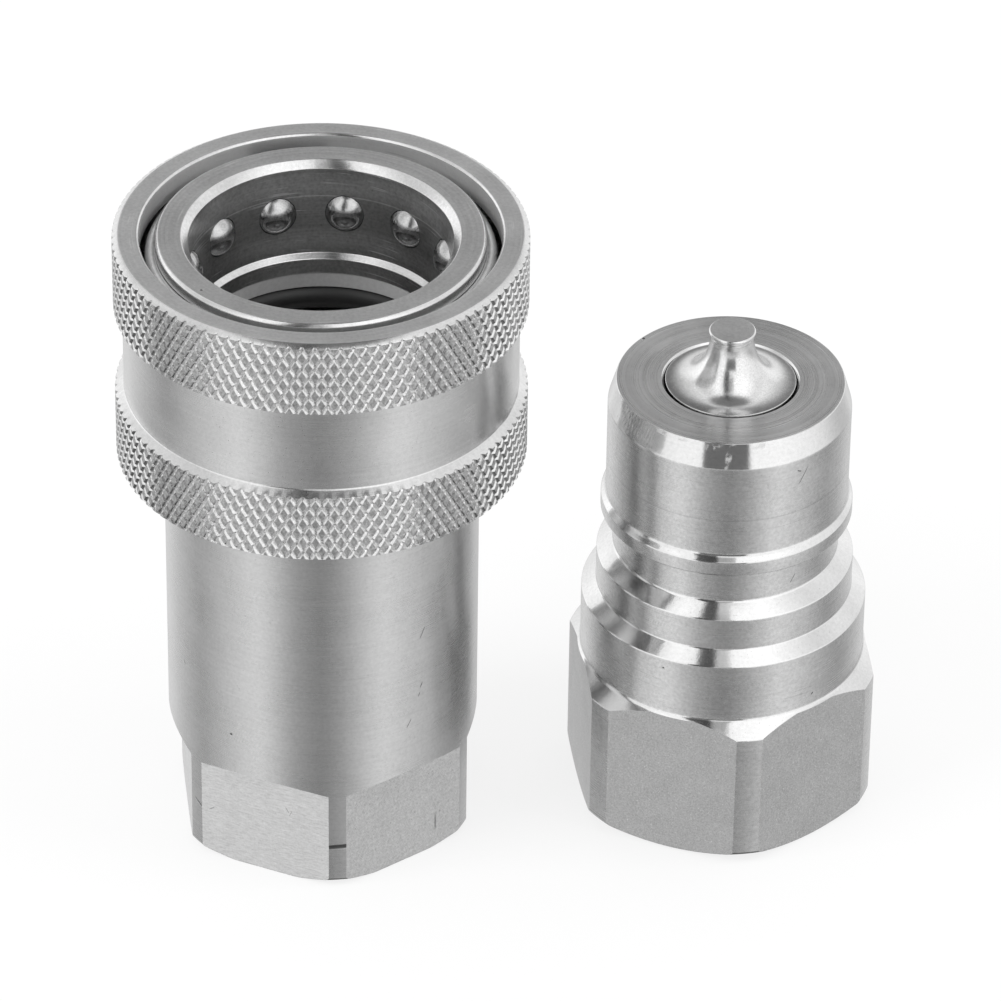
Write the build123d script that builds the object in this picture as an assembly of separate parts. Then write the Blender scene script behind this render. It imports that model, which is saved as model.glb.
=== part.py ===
from build123d import *
import math
import os

# Both halves of a poppet-type hydraulic quick coupler, half-inch size.
# Millimetres, +Z up. Both halves stand on their hexagon ends, mouth and nose up. The
# origin is the middle of the ground that the pair covers.

# Fits and clearances
running_fit = 0.06
ring_fit = 0.05
seal_fit = 0.02
spring_seat_gap = 0.1
ridge_play = 0.1
nose_gap = 0.3
edge_break = 0.3

# Threaded port, the same in both halves (pipe thread G 1/2, drilled to its minor diameter)
port_minor_r = 9.3155
port_mouth_r = 10.6
port_length = 15.5

# Coupling interface
barrel_r = 11.75
barrel_clearance = 0.1
guide_bore_clearance = 0.72
lock_groove_depth = 0.78
ridge_height = 0.47
ridge_edge = 0.2
ball_r = 2.25
ball_seat_share = 0.9
ball_count = 12
ball_phase = 21.3
ball_play = 0.3
ball_fit = 0.08
release_play = 0.28
pocket_throat_depth = 0.9

# Where the two axes stand
socket_x = -17.17
socket_y = -0.27
plug_x = 21.93
plug_y = 4.48

# Socket body
socket_face_z = 65.85
socket_front_wall = 3.18
socket_waist_step = 0.3
socket_body_step = 0.23
socket_land_lead = 1.0
socket_flats_af = 27.0
socket_flats_z = 10.87
socket_flats_runout = 0.78
socket_flats_angle = 37.0
socket_foot_r = 13.9
socket_foot_h = 0.7
mouth_chamfer = 0.7
ball_depth = 5.65
guide_bore_depth = 10.16
bore_step_h = 0.4
gland_top_depth = 12.15
gland_length = 4.5
gland_depth = 2.15
backup_ring_h = 1.58
seal_cord_r = 1.32
collar_depth = 23.65
collar_h = 2.1

# Locking sleeve
sleeve_overhang = 0.32
sleeve_proud = 0.31
sleeve_wall = 2.3
sleeve_waist_depth = 0.85
sleeve_rim_chamfer_r = 0.57
sleeve_rim_chamfer_h = 0.39
upper_grip_h = 7.19
lower_grip_h = 6.82
grip_shoulder_h = 0.53
sleeve_mouth_break = 0.18
sleeve_skirt_step = 0.25
lock_land_above = 1.4
lock_land_below = 1.8
release_ramp_h = 2.0

# Ring that stops the sleeve, and the sleeve's spring
stop_ring_wire_r = 0.9
stop_ring_bite = 0.8
stop_ring_above_ball = 3.4
stop_ring_gap_deg = 24.0
sleeve_spring_wire_r = 0.65
sleeve_spring_turns = 4
spring_end_grind = 0.6
spring_coil_pack = 1.03

# Poppet valve, the same in both halves
poppet_rim_r = 6.3
poppet_gap = 0.15
poppet_rim_flat = 0.25
poppet_neck_r = 2.1
poppet_neck_h = 5.0
poppet_tip_r = 2.25
poppet_tip_h = 5.7
poppet_tip_edge = 0.12
poppet_land_h = 1.0
poppet_head_r = 7.8
poppet_head_h = 1.4
poppet_boss_r = 4.3
poppet_boss_h = 2.0
poppet_stem_r = 2.0
seat_clearance = 0.12
valve_seal_cord_r = 0.7
valve_seal_inset = 1.1
valve_seal_gap = 0.04
poppet_stem_end = 0.2
valve_chamber_r = 8.8

# Valve guide, its snap ring and the valve spring, the same in both halves
snap_ring_z = 16.9
snap_ring_h = 1.1
snap_ring_depth = 0.65
snap_ring_width = 1.5
snap_ring_gap_deg = 50.0
snap_ring_lug_r = 1.5
snap_ring_lug_hole_r = 0.65
snap_ring_lug_inset = 0.4
guide_disc_h = 2.0
guide_hub_r = 4.2
guide_hub_h = 2.0
guide_rim_width = 0.85
guide_window_width = 1.5
guide_window_count = 3
guide_window_deg = 84.0
valve_spring_wire_r = 0.55
valve_spring_mean_r = 5.3
valve_spring_turns = 6

# Plug body
plug_hex_af = 28.0
plug_corner_r = 15.49
plug_hex_angle = 39.4
plug_foot_r = 13.6
plug_foot_h = 1.1
plug_hex_z = 14.96
plug_flange_step = 1.4
plug_flange_foot_z = 16.33
plug_flange_top_z = 22.66
plug_shoulder_z = 23.84
plug_shoulder_height = 0.76
plug_shoulder_top_z = 27.25
lock_groove_bottom_z = 28.45
lock_groove_top_z = 32.2
ridge_h = 1.6
ridge_ramp_h = 0.6
nose_chamfer_z = 44.28
nose_chamfer_depth = 0.75
nose_z = 46.84

# Places that follow from the sizes above
ball_z = socket_face_z - ball_depth
collar_z = socket_face_z - collar_depth
sleeve_bottom_z = collar_z - sleeve_overhang
sleeve_top_z = socket_face_z + sleeve_proud
guide_bore_r = barrel_r + guide_bore_clearance
seal_bore_r = barrel_r + barrel_clearance
gland_r = seal_bore_r + gland_depth
socket_front_r = guide_bore_r + socket_front_wall
socket_waist_r = socket_front_r - socket_waist_step
socket_body_r = socket_waist_r - socket_body_step
ridge_r = barrel_r + ridge_height
lock_groove_r = barrel_r - lock_groove_depth
nose_face_r = barrel_r - nose_chamfer_depth
plug_shoulder_r = barrel_r + plug_shoulder_height
plug_flange_r = plug_shoulder_r + plug_flange_step
ball_pocket_r = ball_r + ball_fit
ball_seat_r = ball_seat_share * ball_r
ball_rest_r = guide_bore_r + math.sqrt(ball_pocket_r**2 - ball_seat_r**2)
lock_land_r = ball_rest_r + ball_r + ball_play
sleeve_mouth_r = ridge_r + ridge_play + 2 * ball_r + release_play
sleeve_skirt_r = sleeve_mouth_r + sleeve_skirt_step
sleeve_grip_r = sleeve_skirt_r + sleeve_wall
sleeve_waist_r = sleeve_grip_r - sleeve_waist_depth
sleeve_spring_mean_r = (socket_waist_r + sleeve_skirt_r) / 2
stop_ring_mean_r = socket_front_r - stop_ring_bite + stop_ring_wire_r
land_top_z = ball_z + lock_land_above
land_bottom_z = ball_z - lock_land_below
gland_top_z = socket_face_z - gland_top_depth
gland_bottom_z = gland_top_z - gland_length
stop_ring_z = ball_z + stop_ring_above_ball
collar_r = sleeve_skirt_r - running_fit
lock_groove_z = (lock_groove_bottom_z + lock_groove_top_z) / 2
mated_nose_z = ball_z - (nose_z - lock_groove_z)
socket_valve_z = mated_nose_z - nose_gap
guide_z = snap_ring_z + snap_ring_h + ring_fit
guide_top_z = guide_z + guide_disc_h
guide_disc_r = valve_chamber_r - ring_fit
guide_window_outer_r = guide_disc_r - guide_rim_width
guide_window_inner_r = guide_window_outer_r - guide_window_width
poppet_hole_r = poppet_rim_r + poppet_gap
cone_top_drop = poppet_land_h - poppet_gap + seat_clearance * math.sqrt(2)
head_back_drop = cone_top_drop + poppet_head_r - poppet_rim_r + poppet_head_h

socket_place = Pos(socket_x, socket_y, 0)
plug_place = Pos(plug_x, plug_y, 0)


def turned(points):
    """Solid of revolution about Z from a closed outline of (radius, height) points."""
    outline = Plane.XZ * make_face(Polyline(*points, close=True))
    return revolve(outline, Axis.Z)


def torus_ring(mean_r, cord_r, z):
    """Round-section ring about Z."""
    section = Plane.XZ * Pos(mean_r, z) * Circle(cord_r)
    return revolve(section, Axis.Z)


def pie(radius, height, z, start_deg, span_deg):
    """Wedge about Z, used to open rings and to cut windows."""
    reach = 2 * radius
    steps = max(2, math.ceil(span_deg / 40))
    rim = [
        (
            reach * math.cos(math.radians(start_deg + span_deg * i / steps)),
            reach * math.sin(math.radians(start_deg + span_deg * i / steps)),
        )
        for i in range(steps + 1)
    ]
    return extrude(Pos(0, 0, z) * make_face(Polyline((0, 0), *rim, close=True)), height)


def port_and_chamber(valve_z):
    """Space inside a half: threaded port, valve chamber, snap ring groove and poppet seat."""
    mouth_h = port_mouth_r - port_minor_r
    seat_top_z = valve_z - poppet_land_h
    seat_foot_z = seat_top_z - (valve_chamber_r - poppet_hole_r)
    space = turned(
        [
            (0, -1),
            (port_mouth_r, -1),
            (port_mouth_r, 0),
            (port_minor_r, mouth_h),
            (port_minor_r, port_length),
            (valve_chamber_r, port_length),
            (valve_chamber_r, seat_foot_z),
            (poppet_hole_r, seat_top_z),
            (poppet_hole_r, valve_z + 1),
            (0, valve_z + 1),
        ]
    )
    groove_r = valve_chamber_r + snap_ring_depth + ring_fit
    groove_h = snap_ring_h + 2 * ring_fit
    groove = Pos(0, 0, snap_ring_z + snap_ring_h / 2) * Cylinder(groove_r, groove_h)
    return space + groove


def ball_pocket(angle):
    """Pocket drilled from outside, with a conical seat that lets the ball show in the bore."""
    inner_r = guide_bore_r - pocket_throat_depth
    throat_r = ball_seat_r - pocket_throat_depth
    shoulder_r = guide_bore_r + ball_pocket_r - ball_seat_r
    outline = Polyline(
        (0, inner_r),
        (throat_r, inner_r),
        (ball_pocket_r, shoulder_r),
        (ball_pocket_r, socket_front_r + 1),
        (0, socket_front_r + 1),
        close=True,
    )
    drill = revolve(Plane.XZ * make_face(outline), Axis.Z)
    return Rot(0, 0, angle) * Pos(0, 0, ball_z) * Rot(0, 90, 0) * drill


def spanner_flat_cut(angle):
    """Milling cut of one spanner flat on the socket, with its sloping run-out."""
    depth = socket_body_r + 1 - socket_flats_af / 2
    near = socket_flats_af / 2
    profile = Polyline(
        (near, -1),
        (near, socket_flats_z),
        (near + depth, socket_flats_z + depth * socket_flats_runout),
        (near + depth, -1),
        close=True,
    )
    cut = extrude(Plane.XZ * make_face(profile), socket_body_r, both=True)
    return Rot(0, 0, angle) * cut


def socket_body():
    """Socket housing: bore, seal gland, ball pockets, spring collar, spanner flats and port."""
    bore_floor_z = socket_face_z - guide_bore_depth
    ring_groove_r = stop_ring_mean_r - stop_ring_wire_r - ring_fit
    ring_groove_low = stop_ring_z - stop_ring_wire_r - ring_fit
    ring_groove_high = stop_ring_z + stop_ring_wire_r + ring_fit
    shell = turned(
        [
            (0, 0),
            (socket_foot_r, 0),
            (socket_body_r, socket_foot_h),
            (socket_body_r, collar_z),
            (collar_r - edge_break, collar_z),
            (collar_r, collar_z + edge_break),
            (collar_r, collar_z + collar_h),
            (socket_waist_r, collar_z + collar_h),
            (socket_waist_r, land_bottom_z - socket_land_lead),
            (socket_front_r, land_bottom_z - socket_land_lead + socket_waist_step),
            (socket_front_r, ring_groove_low),
            (ring_groove_r, ring_groove_low),
            (ring_groove_r, ring_groove_high),
            (socket_front_r, ring_groove_high),
            (socket_front_r, socket_face_z - edge_break),
            (socket_front_r - edge_break, socket_face_z),
            (guide_bore_r + mouth_chamfer, socket_face_z),
            (guide_bore_r, socket_face_z - mouth_chamfer),
            (guide_bore_r, bore_floor_z),
            (seal_bore_r, bore_floor_z - bore_step_h),
            (seal_bore_r, gland_top_z),
            (gland_r, gland_top_z),
            (gland_r, gland_bottom_z),
            (seal_bore_r, gland_bottom_z),
            (seal_bore_r, socket_valve_z),
            (0, socket_valve_z),
        ]
    )
    body = shell - port_and_chamber(socket_valve_z)
    for i in range(6):
        body -= spanner_flat_cut(socket_flats_angle + 30 + 60 * i)
    for i in range(ball_count):
        body -= ball_pocket(ball_phase + 360 / ball_count * i)
    return body


def locking_sleeve():
    """Sliding sleeve: two grip bands, plain waist, inner locking land and release ramp."""
    lower_top_z = sleeve_bottom_z + sleeve_rim_chamfer_h + lower_grip_h
    upper_bottom_z = sleeve_top_z - sleeve_rim_chamfer_h - upper_grip_h
    return turned(
        [
            (sleeve_grip_r - sleeve_rim_chamfer_r, sleeve_bottom_z),
            (sleeve_grip_r, sleeve_bottom_z + sleeve_rim_chamfer_h),
            (sleeve_grip_r, lower_top_z),
            (sleeve_waist_r, lower_top_z + grip_shoulder_h),
            (sleeve_waist_r, upper_bottom_z),
            (sleeve_grip_r, upper_bottom_z),
            (sleeve_grip_r, sleeve_top_z - sleeve_rim_chamfer_h),
            (sleeve_grip_r - sleeve_rim_chamfer_r, sleeve_top_z),
            (sleeve_mouth_r + sleeve_mouth_break, sleeve_top_z),
            (sleeve_mouth_r, sleeve_top_z - sleeve_mouth_break),
            (sleeve_mouth_r, land_top_z + release_ramp_h),
            (lock_land_r, land_top_z),
            (lock_land_r, land_bottom_z),
            (sleeve_skirt_r, land_bottom_z),
            (sleeve_skirt_r, sleeve_bottom_z + edge_break),
            (sleeve_skirt_r + edge_break, sleeve_bottom_z),
        ]
    )


def sleeve_retaining_ring():
    """Round-wire ring snapped into the groove below the socket's face, open at one side."""
    ring = torus_ring(stop_ring_mean_r, stop_ring_wire_r, stop_ring_z)
    tall = 4 * stop_ring_wire_r
    return ring - pie(
        stop_ring_mean_r, tall, stop_ring_z - tall / 2, 90, stop_ring_gap_deg
    )


def coil_spring(mean_r, wire_r, turns, bottom_z, top_z):
    """Compression spring of six-sided wire, one closed coil at each end, ends ground flat."""
    per_turn = 8
    wire_sides = 6
    closed_rise = 2 * wire_r * spring_coil_pack
    open_turns = turns - 2
    low_z = bottom_z + wire_r * (1 - spring_end_grind)
    high_z = top_z - wire_r * (1 - spring_end_grind)
    open_rise = (high_z - low_z - 2 * closed_rise) / open_turns

    def height(turn):
        if turn < 1:
            return low_z + closed_rise * turn
        if turn > turns - 1:
            return high_z - closed_rise * (turns - turn)
        return low_z + closed_rise + open_rise * (turn - 1)

    path = Spline(
        *[
            (
                mean_r * math.cos(2 * math.pi * i / per_turn),
                mean_r * math.sin(2 * math.pi * i / per_turn),
                height(i / per_turn),
            )
            for i in range(round(turns * per_turn) + 1)
        ]
    )
    section = Plane(path @ 0, z_dir=path % 0) * RegularPolygon(wire_r, wire_sides)
    wire = sweep(section, path, is_frenet=True)
    keep = Pos(0, 0, bottom_z) * Cylinder(
        mean_r + 2 * wire_r,
        top_z - bottom_z,
        align=(Align.CENTER, Align.CENTER, Align.MIN),
    )
    return wire & keep


def sleeve_spring():
    """Spring that holds the sleeve forward over the balls."""
    return coil_spring(
        sleeve_spring_mean_r,
        sleeve_spring_wire_r,
        sleeve_spring_turns,
        collar_z + collar_h,
        land_bottom_z - spring_seat_gap,
    )


def locking_ball(index):
    """One locking ball at its rest place."""
    angle = ball_phase + 360 / ball_count * index
    return Rot(0, 0, angle) * Pos(ball_rest_r, 0, ball_z) * Sphere(ball_r)


def bore_seal_ring():
    """Ring seal that grips the plug's barrel."""
    z = gland_top_z - backup_ring_h - ring_fit - seal_cord_r
    return torus_ring(gland_r - seal_cord_r, seal_cord_r, z)


def backup_ring():
    """Flat ring above the seal that keeps it from being squeezed out."""
    outer_r = gland_r - ring_fit
    inner_r = seal_bore_r + barrel_clearance
    top_z = gland_top_z - seal_fit
    return turned(
        [
            (inner_r, top_z - backup_ring_h),
            (outer_r, top_z - backup_ring_h),
            (outer_r, top_z),
            (inner_r, top_z),
        ]
    )


def seal_centre(valve_z):
    """Radius and height of the valve seal's cord, set against the conical seat."""
    stand_off = (valve_seal_cord_r + valve_seal_gap) * math.sqrt(2)
    r = poppet_head_r - valve_seal_inset
    seat_z_at_r = valve_z - poppet_land_h - (r - poppet_hole_r)
    return r, seat_z_at_r - stand_off


def poppet(valve_z):
    """Valve poppet: lipped push pin on a hollow flare, flush rim, cone with a seal groove, stem."""
    cone_top_z = valve_z - cone_top_drop
    head_back_z = valve_z - head_back_drop
    boss_back_z = head_back_z - poppet_boss_h
    stem_end_z = guide_z + poppet_stem_end
    tip_z = valve_z + poppet_tip_h
    flare_foot_r = poppet_rim_r - poppet_rim_flat
    neck_z = valve_z + poppet_neck_h
    with BuildSketch(Plane.XZ) as profile:
        with BuildLine():
            Polyline(
                (0, stem_end_z),
                (poppet_stem_r - edge_break, stem_end_z),
                (poppet_stem_r, stem_end_z + edge_break),
                (poppet_stem_r, boss_back_z),
                (poppet_boss_r, boss_back_z),
                (poppet_boss_r, head_back_z),
                (poppet_head_r, head_back_z),
                (poppet_head_r, head_back_z + poppet_head_h),
                (poppet_rim_r, cone_top_z),
                (poppet_rim_r, valve_z),
                (flare_foot_r, valve_z),
            )
            EllipticalCenterArc(
                (flare_foot_r, neck_z),
                flare_foot_r - poppet_neck_r,
                poppet_neck_h,
                start_angle=180,
                arc_size=90,
            )
            Polyline(
                (poppet_neck_r, neck_z),
                (poppet_tip_r, tip_z - 2 * poppet_tip_edge),
                (poppet_tip_r, tip_z - poppet_tip_edge),
                (poppet_tip_r - poppet_tip_edge, tip_z),
                (0, tip_z),
                (0, stem_end_z),
            )
        make_face()
    seal_r, seal_z = seal_centre(valve_z)
    side = (valve_seal_cord_r + seal_fit) * math.sqrt(2)
    groove = turned(
        [
            (seal_r - side, seal_z),
            (seal_r, seal_z - side),
            (seal_r + side, seal_z),
            (seal_r, seal_z + side),
        ]
    )
    return revolve(profile.sketch, Axis.Z) - groove


def poppet_seal(valve_z):
    """Ring seal in the poppet's cone."""
    seal_r, seal_z = seal_centre(valve_z)
    return torus_ring(seal_r, valve_seal_cord_r, seal_z)


def valve_spring(valve_z):
    """Spring between the valve guide and the poppet's head."""
    return coil_spring(
        valve_spring_mean_r,
        valve_spring_wire_r,
        valve_spring_turns,
        guide_top_z,
        valve_z - head_back_drop - spring_seat_gap,
    )


def valve_guide():
    """Guide disc with flow windows and a hub that the poppet's stem slides in."""
    disc = turned(
        [
            (poppet_stem_r + running_fit, guide_z),
            (guide_disc_r, guide_z),
            (guide_disc_r, guide_top_z),
            (guide_hub_r, guide_top_z),
            (guide_hub_r - edge_break, guide_top_z + guide_hub_h),
            (poppet_stem_r + running_fit, guide_top_z + guide_hub_h),
        ]
    )
    window_ring = turned(
        [
            (guide_window_inner_r, guide_z - 1),
            (guide_window_outer_r, guide_z - 1),
            (guide_window_outer_r, guide_top_z + 1),
            (guide_window_inner_r, guide_top_z + 1),
        ]
    )
    for i in range(guide_window_count):
        start = 360 / guide_window_count * i
        wedge = pie(
            valve_chamber_r, guide_disc_h + 4, guide_z - 2, start, guide_window_deg
        )
        disc -= window_ring & wedge
    return disc


def guide_snap_ring():
    """Internal snap ring that holds the guide, with two plier lugs at its opening."""
    outer_r = valve_chamber_r + snap_ring_depth
    inner_r = outer_r - snap_ring_width
    ring = turned(
        [
            (inner_r, snap_ring_z),
            (outer_r, snap_ring_z),
            (outer_r, snap_ring_z + snap_ring_h),
            (inner_r, snap_ring_z + snap_ring_h),
        ]
    )
    half_gap = snap_ring_gap_deg / 2
    ring -= pie(
        outer_r, snap_ring_h + 2, snap_ring_z - 1, 90 - half_gap, snap_ring_gap_deg
    )
    lug_centre_r = inner_r - snap_ring_lug_inset
    for side in (-1, 1):
        place = Rot(0, 0, 90 + side * half_gap) * Pos(lug_centre_r, 0, snap_ring_z)
        lug = Cylinder(
            snap_ring_lug_r, snap_ring_h, align=(Align.CENTER, Align.CENTER, Align.MIN)
        )
        hole = Cylinder(snap_ring_lug_hole_r, 4 * snap_ring_h)
        ring = ring + place * lug - place * hole
    return ring


def plug_body():
    """Plug housing: nosed barrel, locking ridge and groove, stepped shoulder, hexagon and port."""
    shell = turned(
        [
            (0, 0),
            (plug_foot_r, 0),
            (plug_corner_r, plug_foot_h),
            (plug_corner_r, plug_hex_z),
            (plug_flange_r, plug_flange_foot_z),
            (plug_flange_r, plug_flange_top_z),
            (plug_shoulder_r, plug_shoulder_z),
            (plug_shoulder_r, plug_shoulder_top_z),
            (lock_groove_r, lock_groove_bottom_z),
            (lock_groove_r, lock_groove_top_z),
            (ridge_r - ridge_edge, lock_groove_top_z),
            (ridge_r, lock_groove_top_z + ridge_edge),
            (ridge_r, lock_groove_top_z + ridge_h),
            (barrel_r, lock_groove_top_z + ridge_h + ridge_ramp_h),
            (barrel_r, nose_chamfer_z),
            (nose_face_r, nose_z),
            (0, nose_z),
        ]
    )
    hexagon = RegularPolygon(
        plug_hex_af / 2, 6, major_radius=False, rotation=plug_hex_angle
    )
    reach = plug_flange_foot_z
    shank = Pos(0, 0, reach) * Cylinder(
        plug_flange_r, nose_z, align=(Align.CENTER, Align.CENTER, Align.MIN)
    )
    envelope = extrude(hexagon, reach) + shank
    return (shell & envelope) - port_and_chamber(nose_z)


def save(name, solid):
    """Write one node."""
    export_step(solid, f"parts/{name}.step")


def save_valve(prefix, place, valve_z):
    """Write the valve pieces of one half."""
    save(f"{prefix}_poppet", place * poppet(valve_z))
    save(f"{prefix}_poppet_seal", place * poppet_seal(valve_z))
    save(f"{prefix}_valve_spring", place * valve_spring(valve_z))
    save(f"{prefix}_valve_guide", place * valve_guide())
    save(f"{prefix}_guide_ring", place * guide_snap_ring())


os.makedirs("parts", exist_ok=True)
save("socket_body", socket_place * socket_body())
save("locking_sleeve", socket_place * locking_sleeve())
save("sleeve_retaining_ring", socket_place * sleeve_retaining_ring())
save("sleeve_spring", socket_place * sleeve_spring())
save("bore_seal_ring", socket_place * bore_seal_ring())
save("backup_ring", socket_place * backup_ring())
for i in range(ball_count):
    save(f"locking_ball_{i + 1:02d}", socket_place * locking_ball(i))
save_valve("socket", socket_place, socket_valve_z)
save("plug_body", plug_place * plug_body())
save_valve("plug", plug_place, nose_z)
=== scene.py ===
import bmesh
import bpy
import math
from mathutils import Matrix, Vector


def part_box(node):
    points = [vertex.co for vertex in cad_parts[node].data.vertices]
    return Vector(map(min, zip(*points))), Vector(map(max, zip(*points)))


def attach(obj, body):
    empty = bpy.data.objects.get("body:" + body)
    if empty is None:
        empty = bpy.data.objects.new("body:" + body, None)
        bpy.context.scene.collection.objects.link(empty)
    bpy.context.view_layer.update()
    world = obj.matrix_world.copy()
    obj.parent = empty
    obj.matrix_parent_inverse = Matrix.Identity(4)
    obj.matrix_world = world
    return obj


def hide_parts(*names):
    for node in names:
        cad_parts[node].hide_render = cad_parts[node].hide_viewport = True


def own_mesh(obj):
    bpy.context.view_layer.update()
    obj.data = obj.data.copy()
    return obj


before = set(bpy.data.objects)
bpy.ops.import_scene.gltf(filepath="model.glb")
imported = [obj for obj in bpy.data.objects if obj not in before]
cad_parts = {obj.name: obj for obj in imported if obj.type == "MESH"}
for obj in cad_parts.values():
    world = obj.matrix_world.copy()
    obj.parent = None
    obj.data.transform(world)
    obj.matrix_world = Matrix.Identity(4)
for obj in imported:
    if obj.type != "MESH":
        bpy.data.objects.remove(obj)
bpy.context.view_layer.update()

MM = 0.001
TURN = 2 * math.pi


def middle(node):
    """Axis of a turned node: the middle of its box, in metres."""
    low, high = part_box(node)
    return (low[0] + high[0]) / 2, (low[1] + high[1]) / 2


SOCKET_AXIS = middle("locking_sleeve")
PLUG_AXIS = middle("plug_poppet")

# Sizes in millimetres and degrees, as in the solids. Heights count from the ground.

# Both halves
port_minor_r = 9.3155
port_major_r = 10.4775
port_pitch = 1.814
port_mouth_r = 10.6
port_length = 15.5
chamber_r = 8.8
thread_turns = 8
thread_overcut = 0.05
valve_hole_r = 6.45
valve_land_h = 1.0
poppet_rim_r = 6.3
poppet_lip_w = 0.25
poppet_head_r = 7.8
poppet_head_top = 2.52
poppet_head_back = 3.92
poppet_cone_drop = 1.02
poppet_boss_r = 4.3
poppet_boss_back = 5.92
poppet_stem_r = 2.0
poppet_stem_chamfer = 0.3
poppet_stem_end = 18.25
poppet_neck_r = 2.1
poppet_neck_h = 5.0
poppet_tip_r = 2.25
poppet_tip_h = 5.7
ring_slot_r = 9.5
ring_slot_low = 16.85
ring_slot_high = 18.05

# Socket
socket_face_z = 65.85
socket_valve_z = 43.385
socket_body_r = 15.12
socket_waist_r = 15.35
socket_front_r = 15.65
socket_foot_r = 13.9
socket_foot_h = 0.7
socket_edge = 0.3
guide_bore_r = 12.47
guide_bore_depth = 10.16
guide_bore_chamfer = 0.7
seal_bore_r = 11.85
seal_bore_depth = 10.56
collar_r = 17.29
collar_low = 42.2
collar_high = 44.3
land_bottom_z = 58.4
gland_r = 14.0
gland_low = 49.2
gland_high = 53.7
stop_groove_r = 14.8
stop_groove_z = 63.6
stop_groove_h = 1.9
socket_flats_af = 27.0
socket_flats_z = 10.87
socket_flats_runout = 0.78
socket_flats_angle = 37.0

# Balls
ball_z = 60.2
ball_r = 2.25
ball_pocket_r = 2.33
ball_seat_r = 2.025
ball_count = 12
ball_phase = 21.3

# Sleeve
sleeve_low = 41.88
sleeve_high = 66.16
grip_r = 19.65
sleeve_waist_r = 18.8
sleeve_rim_chamfer = 0.57
sleeve_waist_ramp_h = 0.53
upper_grip_low = 58.58
upper_grip_high = 65.77
lower_grip_low = 42.27
lower_grip_high = 49.09
sleeve_mouth_r = 17.1
sleeve_mouth_chamfer = 0.18
sleeve_skirt_r = 17.35
sleeve_skirt_chamfer = 0.3
lock_ramp_high = 63.6
lock_ramp_low = 61.6
lock_land_r = 16.16
knurl_teeth = 104
knurl_depth = 0.22
knurl_skim = 0.01
knurl_angle = 30.0
knurl_rows = 9

# Plug
plug_nose_z = 46.84
plug_nose_r = 11.0
plug_foot_r = 13.6
plug_foot_h = 1.1
plug_corner_r = 15.49
plug_hex_af = 28.0
plug_hex_angle = 39.4
plug_hex_z = 14.96
plug_flats_z = 16.3
plug_shank_r = 14.6
plug_shank_low = 16.1
plug_shank_high = 60.0
plug_flange_r = 13.91
plug_flange_low = 16.33
plug_flange_high = 22.66
plug_shoulder_r = 12.51
plug_shoulder_low = 23.84
plug_shoulder_high = 27.25
lock_groove_r = 10.97
lock_groove_low = 28.45
lock_groove_high = 32.2
ridge_r = 12.22
ridge_edge = 0.2
ridge_high = 33.8
barrel_r = 11.75
barrel_low = 34.4
barrel_high = 44.28

# Springs: mean radius, wire radius, turns, lowest and highest point
SLEEVE_SPRING = (16.35, 0.65, 4.0, 44.3, 58.3)
SOCKET_SPRING = (5.3, 0.55, 6.0, 20.05, 39.365)
PLUG_SPRING = (5.3, 0.55, 6.0, 20.05, 42.82)
sleeve_travel = 7.0
poppet_travel = 5.7


# Node trees

class Num:
    """A number socket in a tree; Python's operators on it add Math nodes."""

    def __init__(self, tree, socket):
        self.tree = tree
        self.socket = socket

    def __add__(self, other):
        return self.tree.math("ADD", self, other)

    def __radd__(self, other):
        return self.tree.math("ADD", other, self)

    def __sub__(self, other):
        return self.tree.math("SUBTRACT", self, other)

    def __rsub__(self, other):
        return self.tree.math("SUBTRACT", other, self)

    def __mul__(self, other):
        return self.tree.math("MULTIPLY", self, other)

    def __rmul__(self, other):
        return self.tree.math("MULTIPLY", other, self)

    def __truediv__(self, other):
        return self.tree.math("DIVIDE", self, other)

    def __pow__(self, other):
        return self.tree.math("POWER", self, other)

    def __neg__(self):
        return self.tree.math("MULTIPLY", self, -1.0)


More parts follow.
